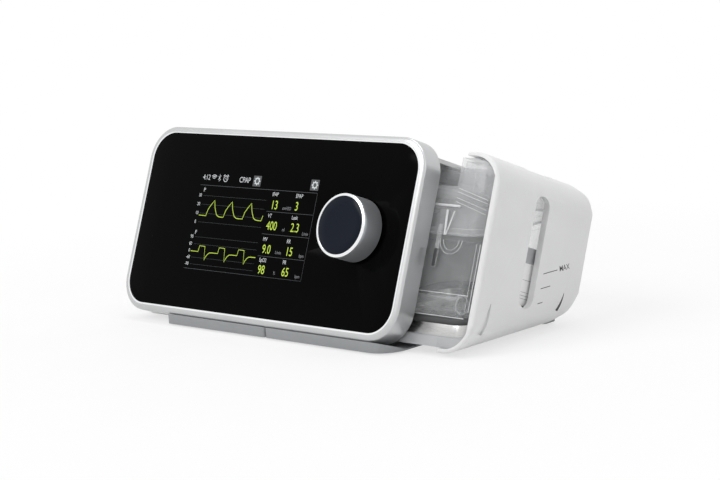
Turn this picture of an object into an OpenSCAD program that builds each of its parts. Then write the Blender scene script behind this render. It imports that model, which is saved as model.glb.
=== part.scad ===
// Bedside breathing machine with a pull-out humidifier drawer.
// X runs to the right, Y to the back and Z up. The table is at Z = 0.
// The whole machine leans back, so most pieces are drawn in the panel's own frame:
// X to the right, Y up the slope and Z out of the glass, with zero at the glass centre.

/* [Front panel] */
// Width of the bright front frame
frame_w = 246; // [236:1:256]
// Height of the bright front frame, along the slope
frame_h = 123; // [118:1:128]
// Depth of the bright front frame
frame_deep = 14.6; // [13:0.2:16]
// Corner radius of the frame and of the casing behind it
frame_r = 21.5; // [20:0.5:24]
// How far the front leans back, in degrees
lean = 21.3; // [18:0.1:24]
// Width of the front glass
glass_w = 236.3; // [230:0.1:238]
// Height of the front glass
glass_h = 115.4; // [110:0.1:116]
// Corner radius of the glass
glass_r = 17.8; // [16:0.1:18]
// Height of the glass centre above the table
glass_z = 65.5; // [64:0.5:68]
// Width of the lit part of the screen
screen_w = 108; // [100:0.5:112]
// Height of the lit part of the screen
screen_h = 64.8; // [60:0.2:68]

/* [Knob] */
// Diameter of the knob
knob_d = 38.8; // [34:0.2:42]
// How far the knob's face stands out of the glass
knob_out = 17.5; // [16:0.5:20]
// Knob centre to the right of the glass centre
knob_x = 80.8; // [76:0.2:88]
// Knob centre above the glass centre
knob_v = 2.6; // [0:0.2:6]

/* [Casing] */
// Depth of the casing behind the glass, square to the glass
body_deep = 109; // [106:1:114]
// How far the frame stands above the casing's top
top_step = 3.8; // [0:0.1:5]
// Wall of the moulded shells
wall = 2.6; // [2:0.1:3]
// Radius of the upper rear edge
top_rear_r = 12; // [8:1:20]
// Radius of the lower rear edge
low_rear_r = 23; // [18:1:26]
// Radius of the upright rear edges
side_rear_r = 10; // [8:1:14]
// Radius of the lower side edges
under_r = 20; // [16:1:22]

/* [Drawer] */
// How far the drawer stands out of the machine
drawer_out = 45.5; // [0:0.5:60]
// Where the drawer cover's upper wall begins, with the drawer shut
cover_x = 95.5; // [90:0.5:100]
// Where the drawer cover's lower lip begins, with the drawer shut
lip_x = 99.5; // [98:0.5:110]
// Thickness of the drawer cover's side wall
side_wall = 4.2; // [2.6:0.1:4.4]
// Width of the sight slot in the drawer cover
slot_w = 13; // [10:0.5:14]
// Length of the sight slot
slot_len = 67; // [60:1:70]

/* [Hose port] */
// Diameter of the hose port
port_d = 22; // [15:1:22]
// Length of the hose port that a hose covers
port_len = 18; // [16:1:20]

/* [Hidden] */
$fn = 96;
slack = 0.3;
glass_y = -34;
glass_t = 2;
frame_v = -0.3;
screen_x = -13.8;
screen_v = 0.7;
body_v = frame_v;
under_z = 2.3;
deck_z = under_z + wall;
heater_z = 8;
far = 400;
// Distance along the table, and height, of a point v up the slope and t behind the glass
function at_y(v, t) = glass_y + v * sin(lean) + t * cos(lean);
function at_z(v, t) = glass_z + v * cos(lean) - t * sin(lean);
function unit(p) = p / norm(p);
knob_r = knob_d / 2;
shaft_r = 3;
bush_r = 3.06;
bay_x = 16;
top_v = body_v + frame_h / 2 - top_step;
slot_t = 57.5;
slot_v = 7.5;
tank_x0 = 24;
tank_x1 = 117;
tank_t0 = 17;
tank_t1 = 101;
tank_r = 13;
tank_wall = 1.8;
tank_mid = [(tank_x0 + tank_x1) / 2, (tank_t0 + tank_t1) / 2];
tank_top_v = 54;
rim_z = 66;
tub_z = 21.5;
pan_z = 10.8;
pan_rim_z = 17.3;
air_v = 42.6;
air_in_t = 62;
air_out_t = 84;
air_r = 7.5;
blower_x = -62;
blower_out = 21.5;
blower_y = at_y(air_v, air_in_t) - blower_out;
blower_z = 17;
blower_h = 24;
duct_x = -5;
duct_r = 8.5;
port_x = -12;
port_z = 50;
port_y = 83;
port_collar = 14.6;
jack_x = -100;
jack_z = 22;
jack_y = 64.5;
filter_x = -80;
filter_v = 26;
filter_w = 50;
filter_h = 34;
silencer_t1 = 96.9;
base_y1 = 40;
screw_spots = [[-92, -18], [-92, 36], [8.5, -18], [8.5, 36]];

// Panel frame: Z comes out of the glass
module at_panel() {
    translate([0, glass_y, glass_z])
        rotate([90 - lean, 0, 0])
            children();
}

module rounded_rect(w, h, r) {
    square([w - 2 * r, h], center = true);
    square([w, h - 2 * r], center = true);
    for (x = [-1, 1], y = [-1, 1])
        translate([x * (w / 2 - r), y * (h / 2 - r)])
            circle(r);
}

// Convex outline through the points, with each corner rounded by its own radius
module rounded_outline(points, radii) {
    count = len(points);
    before = [for (i = [0 : count - 1]) unit(points[(i + count - 1) % count] - points[i])];
    after = [for (i = [0 : count - 1]) unit(points[(i + 1) % count] - points[i])];
    half = [for (i = [0 : count - 1]) acos(before[i] * after[i]) / 2];
    reach = [for (i = [0 : count - 1]) radii[i] / tan(half[i])];
    polygon([for (i = [0 : count - 1], side = [0, 1])
        points[i] + (side == 0 ? before[i] : after[i]) * reach[i]]);
    for (i = [0 : count - 1])
        if (radii[i] > 0)
            translate(points[i] + unit(before[i] + after[i]) * radii[i] / sin(half[i]))
                circle(radii[i]);
}

// Rounded plate lying in the panel frame, from depth t0 to depth t1 behind the glass
module slab(w, h, r, t0, t1, at = [0, 0]) {
    translate([at[0], at[1], -t1])
        linear_extrude(t1 - t0)
            rounded_rect(w, h, r);
}

// Sweeps an edge profile round a rounded rectangle. Profile X runs out from the corner's centre.
module rim_sweep(w, h, r) {
    for (k = [0 : 3]) {
        across = k % 2 == 0 ? w : h;
        along = (k % 2 == 0 ? h : w) - 2 * r;
        rotate(90 * k) {
            translate([across / 2 - r, along / 2, 0]) {
                rotate([90, 0, 0])
                    linear_extrude(along)
                        children();
                rotate_extrude(angle = 90)
                    children();
            }
        }
    }
}

// What a rounded edge takes away, outside a circle round the origin, along Z
module edge_cut(r, side = 1) {
    translate([0, 0, -far / 2])
        linear_extrude(far)
            difference() {
                translate([0, side < 0 ? -r - 5 : 0])
                    square(r + 5);
                circle(r);
            }
}

// Solid shape of the casing, drawn in by inset on every side, from depth t0 backwards
module body_form(inset = 0, t0 = frame_deep) {
    half_w = frame_w / 2 - inset;
    back = body_deep - inset;
    low = under_z + inset;
    top = top_v - inset;
    top_r = frame_r - inset;
    rear_r = side_rear_r - inset;
    low_r = under_r - inset;
    rear_v = (low - glass_z + back * sin(lean)) / cos(lean);
    front_v = (low - glass_z + t0 * sin(lean)) / cos(lean);
    difference() {
        rotate([90, 0, 90])
            translate([0, 0, -half_w])
                linear_extrude(2 * half_w)
                    rounded_outline(
                        [[at_y(front_v, t0), low], [at_y(rear_v, back), low],
                            [at_y(top, back), at_z(top, back)], [at_y(top, t0), at_z(top, t0)]],
                        [0, low_rear_r - inset, top_rear_r - inset, 0]);
        for (side = [0, 1])
            mirror([side, 0, 0]) {
                at_panel()
                    translate([half_w - top_r, top - top_r, 0])
                        edge_cut(top_r);
                at_panel()
                    translate([half_w - rear_r, 0, rear_r - back])
                        rotate([90, 0, 0])
                            edge_cut(rear_r, -1);
                translate([half_w - low_r, 0, low + low_r])
                    rotate([90, 0, 0])
                        edge_cut(low_r, -1);
            }
    }
}

module body_shell() {
    difference() {
        body_form();
        body_form(wall, frame_deep - 1);
    }
}

// Tank shape with walls parallel to the panel, between two heights
module tank_form(inset, z0, z1) {
    intersection() {
        at_panel()
            translate([tank_mid[0], far / 2, -tank_mid[1]])
                rotate([90, 0, 0])
                    linear_extrude(far)
                        rounded_rect(tank_x1 - tank_x0 - 2 * inset, tank_t1 - tank_t0 - 2 * inset,
                            tank_r - inset);
        translate([-far / 2, -far / 2, z0])
            cube([far, far, z1 - z0]);
    }
}

// The space below the slope at height v in the panel frame
module below_slope(v) {
    at_panel()
        translate([-far / 2, v - far, -far / 2])
            cube([far, far, far]);
}

module pulled_out() {
    translate([drawer_out, 0, 0])
        children();
}

// Tube along X in the panel frame, at height v and depth t
module air_bore(r, x0, x1, t) {
    at_panel()
        translate([x0, air_v, -t])
            rotate([0, 90, 0])
                cylinder(r = r, h = x1 - x0);
}

// Front

module front_frame() {
    ledge = 6.5;
    skin = 3;
    ledge_t = 5;
    collar_t = 8;
    edge_w = 3.4;
    edge_t = 1.8;
    color([0.78, 0.79, 0.8])
        at_panel()
            difference() {
                translate([0, frame_v, 0])
                    rim_sweep(frame_w, frame_h, frame_r)
                        polygon(concat(
                            [[frame_r - ledge, -ledge_t], [frame_r - skin, -ledge_t],
                                [frame_r - skin, -collar_t], [frame_r - ledge, -collar_t],
                                [frame_r - ledge, -frame_deep], [frame_r, -frame_deep]],
                            [for (a = [0 : 10 : 90])
                                [frame_r - edge_w + edge_w * cos(a), -edge_t + edge_t * sin(a)]],
                            [[frame_r - ledge, 0]]));
                slab(glass_w + 0.4, glass_h + 0.4, glass_r + 0.2, -1, glass_t);
            }
}

module front_glass() {
    bevel = 0.6;
    color([0.04, 0.04, 0.05])
        at_panel()
            difference() {
                union() {
                    rim_sweep(glass_w, glass_h, glass_r)
                        polygon([[0, -glass_t], [glass_r, -glass_t], [glass_r, -bevel],
                            [glass_r - bevel, 0], [0, 0]]);
                    translate([glass_r - glass_w / 2, glass_r - glass_h / 2, -glass_t])
                        cube([glass_w - 2 * glass_r, glass_h - 2 * glass_r, glass_t]);
                }
                translate([knob_x, knob_v, -glass_t - 1])
                    cylinder(r = 7, h = glass_t + 2);
            }
}

module display_module() {
    color([0.2, 0.22, 0.25])
        at_panel()
            slab(screen_w + 13, screen_h + 12, 1.5, glass_t, 5, [screen_x, screen_v]);
}

module front_carrier() {
    post_t = 20;
    color([0.35, 0.36, 0.38])
        at_panel()
            difference() {
                union() {
                    slab(frame_w - 6.8, frame_h - 6.8, 18, 5, 7.4, [0, frame_v]);
                    for (x = [-110, 6], v = [-40, 42])
                        translate([x, v, -post_t])
                            cylinder(r = 3.2, h = post_t - 6);
                }
                translate([knob_x, knob_v, -9])
                    cylinder(r = 4.8, h = 6);
                slab(60, 30, 4, 4, 9, [screen_x, screen_v]);
            }
}

module display_board() {
    color([0.1, 0.35, 0.2])
        at_panel() {
            slab(116, 72, 2, 9, 10.6, [screen_x, screen_v]);
            for (x = [-1, 1], v = [-1, 1])
                translate([screen_x + 52 * x, screen_v + 30 * v, -9.2])
                    cylinder(r = 2.6, h = 1.8);
            slab(18, 18, 0.5, 10.5, 12, [screen_x - 20, screen_v]);
            slab(30, 6, 0.5, 10.5, 13, [screen_x + 20, screen_v - 24]);
        }
}

module encoder_body() {
    color([0.6, 0.6, 0.62])
        at_panel()
            translate([knob_x, knob_v, 0])
                difference() {
                    union() {
                        translate([-8, -8, -15.4])
                            cube([16, 16, 8]);
                        translate([0, 0, -8])
                            cylinder(r = 4.5, h = 7);
                    }
                    translate([0, 0, -14.2])
                        cylinder(r = 5.6, h = 4.7);
                    translate([0, 0, -10])
                        cylinder(r = bush_r, h = 12);
                }
}

module encoder_plunger() {
    color([0.9, 0.9, 0.85])
        at_panel()
            translate([knob_x, knob_v, 0])
                difference() {
                    translate([0, 0, -13.2])
                        cylinder(r = 5.2, h = 3.2);
                    translate([0, 0, -12.4])
                        cylinder(r = bush_r, h = 6);
                }
}

module encoder_shaft() {
    color([0.7, 0.7, 0.72])
        at_panel()
            translate([knob_x, knob_v, -12.2])
                cylinder(r = shaft_r, h = 12.2 + knob_out - 3.3);
}

// The knob is a cup that is pressed on the shaft by its hub
module knob() {
    low = 1.3;
    top = knob_out - 3.3;
    skirt = 2.2;
    web = 2.5;
    hub_r = 6.2;
    color([0.55, 0.57, 0.6])
        at_panel()
            translate([knob_x, knob_v, 0])
                rotate_extrude()
                    polygon([[shaft_r, low + 0.4], [hub_r, low + 0.4], [hub_r, top - web],
                        [knob_r - skirt, top - web], [knob_r - skirt, low], [knob_r - 0.4, low],
                        [knob_r, low + 0.4], [knob_r, top], [shaft_r, top]]);
}

module knob_ring() {
    low = knob_out - 3.3;
    color([0.85, 0.86, 0.88])
        at_panel()
            translate([knob_x, knob_v, 0])
                rotate_extrude()
                    polygon([[knob_r - 4, low], [knob_r, low], [knob_r, low + 0.5],
                        [knob_r - 2.6, knob_out - 0.2], [knob_r - 3.2, knob_out],
                        [knob_r - 4, knob_out]]);
}

module knob_face() {
    low = knob_out - 3.3;
    color([0.1, 0.12, 0.15])
        at_panel()
            translate([knob_x, knob_v, 0])
                rotate_extrude()
                    polygon([[0, low], [knob_r - 4, low], [knob_r - 4, knob_out - 0.3], [0, knob_out - 0.8]]);
}

// Casing

module stadium_hole(w, length, t, v, x0, x1) {
    at_panel()
        translate([x0, v, -t])
            rotate([90, 0, 90])
                linear_extrude(x1 - x0)
                    union() {
                        square([length - w, w], center = true);
                        for (s = [-1, 1])
                            translate([s * (length - w) / 2, 0])
                                circle(w / 2);
                    }
}

module main_housing() {
    color([0.93, 0.94, 0.94])
        difference() {
            union() {
                intersection() {
                    body_shell();
                    translate([-far, -far / 2, 0])
                        cube([far + cover_x - slack / 2, far, far]);
                }
                intersection() {
                    body_form(wall / 2);
                    for (spot = [screw_spots[0], screw_spots[1]])
                        translate([spot[0], spot[1], deck_z + 0.1]) {
                            cylinder(r = 4.2, h = 16);
                            translate([-40, -2, 0])
                                cube([40, 4, 16]);
                        }
                }
            }
            translate([-98, -far / 2, 0])
                cube([far, far / 2 + base_y1 + 0.2, deck_z + 0.1]);
            for (spot = [screw_spots[0], screw_spots[1]])
                translate([spot[0], spot[1], 0])
                    cylinder(r = 1.5, h = 18);
            at_panel()
                slab(filter_w + 2 * slack, filter_h + 2 * slack, 4, body_deep - 6, body_deep + 6,
                    [filter_x, filter_v]);
            translate([port_x, port_y + 5, port_z])
                rotate([90, 0, 0])
                    cylinder(r = port_d / 2 + 3, h = 30);
            translate([jack_x, jack_y + 8, jack_z])
                rotate([90, 0, 0])
                    cylinder(r = 5.4, h = 24);
        }
}

// Partition between the works and the drawer bay
module bay_liner() {
    color([0.8, 0.81, 0.82])
        difference() {
            union() {
                intersection() {
                    body_form(wall + 0.1, frame_deep + 0.2);
                    translate([bay_x - 2.2, -far / 2, deck_z])
                        cube([2.2, far, far]);
                }
                for (spot = [screw_spots[2], screw_spots[3]])
                    translate([spot[0], spot[1], deck_z]) {
                        cylinder(r = 4, h = 16);
                        translate([0, -2, 0])
                            cube([bay_x - 1 - spot[0], 4, 16]);
                    }
            }
            for (t = [air_in_t, air_out_t])
                air_bore(6.2, bay_x - 5, bay_x + 1, t);
            for (spot = [screw_spots[2], screw_spots[3]])
                translate([spot[0], spot[1], 0])
                    cylinder(r = 1.5, h = 18);
        }
}

module base_plate() {
    color([0.6, 0.61, 0.62])
        difference() {
            intersection() {
                body_form(0, frame_deep + 0.1);
                translate([-97.8, -far / 2, under_z])
                    cube([97.8 + lip_x - 1.5, far / 2 + base_y1, deck_z - under_z]);
            }
            for (spot = screw_spots)
                translate([spot[0], spot[1], 0]) {
                    cylinder(r = 1.7, h = 10);
                    cylinder(r = 3.1, h = under_z + 1.3);
                }
        }
}

// Front foot of the casing: a wedge under the frame, with a thin sole behind it
module plinth(x0, x1, sole_x, r) {
    front_y = -56.4;
    low = 1;
    nose_z = 7.4;
    rear_y = 18;
    difference() {
        intersection() {
            translate([0, 0, low])
                linear_extrude(nose_z - low)
                    union() {
                        translate([(x0 + x1) / 2, (front_y + rear_y) / 2])
                            rounded_rect(x1 - x0, rear_y - front_y, 2);
                    }
            rotate([90, 0, 90])
                translate([0, 0, x0 - 1])
                    linear_extrude(x1 - x0 + 2)
                        polygon([[front_y - 1, 0], [front_y - 1, nose_z + 1], [front_y + 0.4, nose_z],
                            [at_y(frame_v - frame_h / 2, frame_deep),
                                at_z(frame_v - frame_h / 2, frame_deep) - 0.1],
                            [at_y(frame_v - frame_h / 2, frame_deep) + 0.1, under_z],
                            [rear_y + 1, under_z], [rear_y + 1, 0]]);
        }
        translate([sole_x, -42.8, under_z - slack])
            cube([far, far, far]);
        translate([x1 - r, front_y - 1, 0])
            difference() {
                cube([r + 1, r + 1, 20]);
                translate([0, r + 1, -1])
                    cylinder(r = r, h = 22);
            }
        for (spot = screw_spots)
            translate([spot[0], spot[1], 0])
                cylinder(r = 3.4, h = 10);
    }
}

module plinth_left() {
    color([0.55, 0.56, 0.57])
        plinth(-75, bay_x - 0.2, far, 2);
}

module plinth_right() {
    color([0.58, 0.59, 0.6])
        plinth(bay_x + 0.2, 119.5, lip_x - 1.5, 16);
}

module rubber_feet() {
    color([0.15, 0.15, 0.16])
        for (spot = [[0, 0, 1], [-62, -46, 1], [88, -40, 1], [-62, 32, under_z], [88, 32, under_z]])
            translate([spot[0], spot[1], 0])
                cylinder(r = 7, h = spot[2]);
}

// Works in the left half

module heater_plate() {
    color([0.7, 0.71, 0.72])
        translate([60, 8, heater_z])
            linear_extrude(2.4)
                rounded_rect(56, 56, 8);
}

module heater_base() {
    color([0.85, 0.84, 0.78])
        translate([60, 8, deck_z])
            linear_extrude(heater_z - deck_z)
                rounded_rect(60, 60, 9);
}

module main_board() {
    color([0.08, 0.32, 0.18])
        at_panel() {
            slab(126, 94, 3, 20, 21.6, [-52, 1]);
            slab(24, 24, 1, 21.5, 23.5, [-60, 20]);
            slab(12, 30, 1, 21.5, 28, [-104, 18]);
            slab(40, 8, 1, 21.5, 29, [-40, -34]);
        }
}

module buzzer() {
    color([0.12, 0.12, 0.12])
        at_panel()
            translate([-96, -25, -28])
                difference() {
                    cylinder(r = 9, h = 6.4);
                    translate([0, 0, -1])
                        cylinder(r = 1.5, h = 3);
                }
}

module motor_can() {
    color([0.65, 0.65, 0.68])
        translate([blower_x, blower_y, 0])
            difference() {
                union() {
                    translate([0, 0, deck_z])
                        cylinder(r = 15, h = blower_z - deck_z);
                    translate([0, 0, deck_z])
                        cylinder(r = 6, h = blower_z - deck_z + 3);
                }
                translate([0, 0, deck_z + 2])
                    cylinder(r = 1.55, h = 30);
            }
}

// Spiral outline of the blower, which widens towards its outlet
module volute(r, grow, cut) {
    polygon([for (a = [0 : 10 : 360]) (r + grow * a / 360) * [cos(90 - a), sin(90 - a)]]);
    translate([0, blower_out - 8 + cut])
        square([34, 16 - 2 * cut]);
}

module blower_half(z0, z1, floor_z0, floor_z1) {
    difference() {
        translate([blower_x, blower_y, z0])
            linear_extrude(z1 - z0)
                volute(24.5, 5, 0);
        translate([blower_x, blower_y, floor_z0])
            linear_extrude(floor_z1 - floor_z0)
                volute(22.7, 5, 1.8);
    }
}

module blower_base() {
    color([0.25, 0.26, 0.28])
        difference() {
            blower_half(blower_z, blower_z + blower_h / 2, blower_z + 1.8, blower_z + blower_h);
            translate([blower_x, blower_y, 0])
                cylinder(r = 6.2, h = 60);
        }
}

module blower_cover() {
    color([0.3, 0.31, 0.33])
        difference() {
            blower_half(blower_z + blower_h / 2, blower_z + blower_h, blower_z,
                blower_z + blower_h - 1.8);
            translate([blower_x, blower_y, 0])
                cylinder(r = 10, h = 60);
        }
}

module rotor_shaft() {
    color([0.75, 0.75, 0.77])
        translate([blower_x, blower_y, deck_z + 2.4])
            cylinder(r = 1.5, h = 26);
}

// Backplate, hub and curved blades
module impeller() {
    blades = 11;
    blade_h = 13;
    blade_z = blower_z + 5.5;
    curve_r = 12.5;
    color([0.85, 0.86, 0.88])
        translate([blower_x, blower_y, blade_z])
            difference() {
                union() {
                    translate([0, 0, -1.2])
                        cylinder(r = 20, h = 1.4);
                    translate([0, 0, -1.2])
                        cylinder(r = 5, h = 9);
                    for (k = [0 : blades - 1])
                        rotate(k * 360 / blades)
                            intersection() {
                                translate([9, 9, -0.4])
                                    difference() {
                                        cylinder(r = curve_r, h = blade_h);
                                        translate([0, 0, -1])
                                            cylinder(r = curve_r - 1.2, h = blade_h + 2);
                                    }
                                translate([7, -4, -1])
                                    cube([11.5, 9, blade_h + 2]);
                            }
                }
                translate([0, 0, -5])
                    cylinder(r = 1.5, h = 30);
            }
}

module inlet_silencer() {
    color([0.4, 0.41, 0.43])
        difference() {
            union() {
                at_panel()
                    slab(60, 32, 3, 36, silencer_t1, [-78, 28]);
                translate([blower_x, blower_y, blower_z + blower_h])
                    cylinder(r = 11, h = 24);
            }
            at_panel() {
                slab(56.4, 28.4, 2, 37.8, 95, [-78, 28]);
                slab(40, 24, 2, 90, 98, [filter_x, filter_v]);
            }
            translate([blower_x, blower_y, blower_z + blower_h - 1])
                cylinder(r = 9.2, h = 24);
        }
}

// Runs along X from the blower, up, and along X again to the bay
module blower_duct_form(r, ends) {
    y = blower_y + blower_out;
    z0 = blower_z + blower_h / 2;
    z1 = at_z(air_v, air_in_t);
    translate([blower_x + 34 - ends, y, z0])
        rotate([0, 90, 0])
            cylinder(r = r, h = duct_x - blower_x - 34 + ends);
    translate([duct_x, y, z0]) {
        sphere(r);
        cylinder(r = r, h = z1 - z0);
    }
    translate([duct_x, y, z1]) {
        sphere(r);
        rotate([0, 90, 0])
            cylinder(r = r, h = bay_x - 2.2 - duct_x + ends);
    }
}

module blower_duct() {
    color([0.5, 0.51, 0.53])
        difference() {
            union() {
                blower_duct_form(duct_r, 0);
                translate([blower_x + 34, blower_y + blower_out - 8, blower_z])
                    cube([1.6, 16, blower_h]);
            }
            blower_duct_form(duct_r - 1.8, 1);
        }
}

// Runs from the bay to the hose port
module outlet_duct_form(r, ends) {
    y = at_y(air_v, air_out_t);
    z = at_z(air_v, air_out_t);
    translate([port_x, y, z]) {
        sphere(r);
        rotate([0, 90, 0])
            cylinder(r = r, h = bay_x - 2.2 - port_x + ends);
    }
    translate([port_x, y, port_z]) {
        cylinder(r = r, h = z - port_z);
        sphere(r);
        rotate([-90, 0, 0])
            cylinder(r = r, h = port_y - port_collar - y + ends);
    }
}

module outlet_duct() {
    color([0.5, 0.51, 0.53])
        difference() {
            outlet_duct_form(duct_r, 0);
            outlet_duct_form(duct_r - 1.8, 1);
        }
}

module outlet_port() {
    collar_r = port_d / 2 + 3;
    color([0.82, 0.83, 0.84])
        translate([port_x, port_y, port_z])
            rotate([-90, 0, 0])
                difference() {
                    union() {
                        translate([0, 0, -port_collar])
                            cylinder(r = collar_r, h = port_collar);
                        cylinder(r = port_d / 2, h = port_len);
                    }
                    translate([0, 0, -port_collar - 1])
                        cylinder(r = duct_r - 1.8, h = 5);
                    translate([0, 0, 3 - port_collar])
                        cylinder(r = port_d / 2 - 1.8, h = port_len + port_collar);
                }
}

module port_seals() {
    color([0.75, 0.78, 0.82])
        for (t = [air_in_t, air_out_t])
            difference() {
                air_bore(9, bay_x, bay_x + 0.7, t);
                air_bore(6.2, bay_x - 1, bay_x + 2, t);
            }
}

module power_socket() {
    color([0.1, 0.1, 0.1])
        translate([jack_x, jack_y, jack_z])
            rotate([-90, 0, 0])
                difference() {
                    union() {
                        translate([-6, -6, -14])
                            cube([12, 12, 10]);
                        translate([0, 0, -5])
                            cylinder(r = 5.4, h = 5);
                    }
                    difference() {
                        translate([0, 0, -10])
                            cylinder(r = 3.2, h = 11);
                        translate([0, 0, -11])
                            cylinder(r = 1, h = 10.4);
                    }
                }
}

module filter_frame() {
    color([0.45, 0.46, 0.48])
        at_panel()
            difference() {
                slab(filter_w + 4, filter_h + 4, 4, silencer_t1, body_deep - wall, [filter_x, filter_v]);
                slab(filter_w - 4, filter_h - 4, 2, 98.5, body_deep, [filter_x, filter_v]);
                slab(38, 22, 2, 90, body_deep, [filter_x, filter_v]);
            }
}

module air_filter() {
    color([0.9, 0.92, 0.95])
        at_panel()
            slab(filter_w - 4.6, filter_h - 4.6, 2, 98.5, 104.8, [filter_x, filter_v]);
}

// Slatted cover that pulls off to the rear
module filter_cover() {
    slats = 6;
    pitch = 5;
    color([0.88, 0.89, 0.9])
        at_panel()
            difference() {
                slab(filter_w, filter_h, 3.6, body_deep - 2.2, body_deep, [filter_x, filter_v]);
                for (k = [0 : slats - 1])
                    slab(filter_w - 14, 2.4, 1.1, body_deep - 4, body_deep + 1,
                        [filter_x, filter_v + (k - (slats - 1) / 2) * pitch]);
            }
}

// Drawer

module drawer_cover() {
    groove_w = 1.3;
    color([0.94, 0.95, 0.95])
        pulled_out()
            difference() {
                intersection() {
                    body_form(0, frame_deep + slack);
                    union() {
                        translate([cover_x + slack / 2, -far / 2, deck_z + 8])
                            cube([far, far, far]);
                        translate([lip_x, -far / 2, 0])
                            cube([far, far, far]);
                    }
                }
                intersection() {
                    body_form(wall, frame_deep - 1);
                    translate([-far, -far / 2, -far / 2])
                        cube([far + frame_w / 2 - side_wall, far, far]);
                }
                stadium_hole(slot_w, slot_len, slot_t, slot_v, frame_w / 2 - 10, frame_w / 2 + 1);
                for (groove = [[27.2, -38.2, 17.6], [91.8, -16, 10]])
                    stadium_hole(groove_w, groove[2], groove[0], groove[1],
                        frame_w / 2 - 0.8, frame_w / 2 + 1);
            }
}

// Fork-shaped deck that clears the heater, open below, with the tank standing on it
module drawer_tray() {
    floor_z = deck_z + slack;
    skin = 1.6;
    front_t = 16.4;
    split_x = 97;
    fork_y = [-26, 42];
    color([0.86, 0.87, 0.88])
        pulled_out()
            difference() {
                intersection() {
                    union() {
                        intersection() {
                            body_form(wall + 0.4, front_t);
                            translate([bay_x + 5, -far / 2, 0])
                                cube([split_x - bay_x - 4, far, far]);
                        }
                        intersection() {
                            body_form(wall, front_t);
                            translate([split_x, -far / 2, 0])
                                cube([far, far, far]);
                        }
                    }
                    translate([-far / 2, -far / 2, floor_z])
                        cube([far, far, pan_z - floor_z]);
                }
                translate([0, fork_y[0], 0])
                    cube([split_x - 1, fork_y[1] - fork_y[0], 40]);
                for (k = [0 : 2])
                    translate([bay_x + 7 + 24.6 * k, fork_y[0] - 10.2, floor_z - 1])
                        cube([22.6, 8.2, pan_z - floor_z - skin + 1]);
                for (k = [0 : 1])
                    translate([split_x + 1, -34 + 37 * k, floor_z - 1])
                        cube([10, 35, pan_z - floor_z - skin + 1]);
            }
}

module water_tub() {
    color([0.75, 0.8, 0.82, 0.5])
        pulled_out()
            difference() {
                union() {
                    tank_form(1, tub_z, rim_z);
                    tank_form(0, rim_z - 3, rim_z);
                }
                tank_form(1 + tank_wall, tub_z - 1, rim_z + 1);
            }
}

module tank_seal() {
    color([0.7, 0.75, 0.8])
        pulled_out()
            difference() {
                tank_form(0.6, rim_z, rim_z + 1);
                tank_form(2.6, rim_z - 1, rim_z + 2);
            }
}

// Low at the front left, high at the right and the rear
module tank_lid_form(inset) {
    low_v = 36.7;
    block_x = 89.5;
    block_t = 50;
    difference() {
        intersection() {
            tank_form(1 + inset, rim_z + 1 - inset, far);
            union() {
                below_slope(low_v - inset);
                intersection() {
                    below_slope(tank_top_v - inset);
                    union() {
                        translate([block_x + inset, -far / 2, 0])
                            cube([far, far, far]);
                        at_panel()
                            translate([-far / 2, -far / 2, -far - block_t - inset])
                                cube([far, far, far]);
                    }
                }
            }
        }
        at_panel()
            translate([frame_w / 2 - frame_r, top_v - frame_r, 0])
                edge_cut(frame_r - wall - 2 * slack - inset);
    }
}

module tank_lid() {
    pad_spot = [106, 39.3];
    color([0.8, 0.85, 0.87, 0.5])
        pulled_out()
            difference() {
                union() {
                    tank_lid_form(0);
                    tank_form(0, rim_z + 1, rim_z + 4);
                    at_panel()
                        slab(8, 11.5, 1.2, tank_t0 + 0.2, tank_t0 + 2, pad_spot);
                    for (t = [air_in_t, air_out_t])
                        air_bore(air_r, bay_x + 1.1, tank_x0 + 3, t);
                }
                tank_lid_form(tank_wall);
                for (t = [air_in_t, air_out_t])
                    air_bore(air_r - 1.6, bay_x, tank_x0 + 6, t);
            }
}

// Moulded cross tube near the tank's floor, with a round end cap
module tank_tube() {
    v = -33.3;
    t = 27.9;
    x0 = 38;
    length = 71;
    front_t = tank_t0 + 1 + tank_wall;
    color([0.8, 0.84, 0.86, 0.6])
        pulled_out()
            at_panel()
                difference() {
                    union() {
                        translate([x0, v, -t])
                            rotate([0, 90, 0])
                                cylinder(r = 5.4, h = length - 2);
                        translate([x0 + length - 4, v, -t])
                            rotate([0, 90, 0])
                                cylinder(r = 6.6, h = 4);
                        for (k = [0 : 2])
                            translate([x0 + 6 + 25 * k, v, -t])
                                cube([3, 3.5, t - front_t]);
                    }
                    translate([x0 - 1, v, -t])
                        rotate([0, 90, 0])
                            cylinder(r = 4, h = length - 4);
                    translate([x0 + length - 2, v, -t])
                        rotate([0, 90, 0])
                            cylinder(r = 5, h = 3);
                }
}

// Slim clip that holds the lid's flange to the tub's rim, with a barb at each end
module lid_latch() {
    x = 83.7;
    color([0.3, 0.32, 0.34])
        pulled_out()
            at_panel() {
                slab(3, 25.5, 1.4, tank_t0 - 1.1, tank_t0, [x, 0.75]);
                for (barb_v = [2, 12])
                    translate([x - 1.5, barb_v, -tank_t0 - 0.8])
                        cube([3, 1, 0.9]);
            }
}

module pan_seal() {
    color([0.08, 0.08, 0.09])
        pulled_out()
            difference() {
                tank_form(2, pan_rim_z, tub_z);
                tank_form(4.2, pan_rim_z - 1, tub_z + 1);
            }
}

module tank_pan() {
    color([0.8, 0.8, 0.8])
        pulled_out()
            difference() {
                tank_form(2.2, pan_z, pan_rim_z);
                tank_form(3.8, pan_z + 1, pan_rim_z + 1);
            }
}

module drawer_foot() {
    color([0.12, 0.12, 0.13])
        pulled_out()
            difference() {
                translate([103.5, 54, 0.5])
                    linear_extrude(7)
                        rounded_rect(6, 12, 2.9);
                body_form();
            }
}

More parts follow.
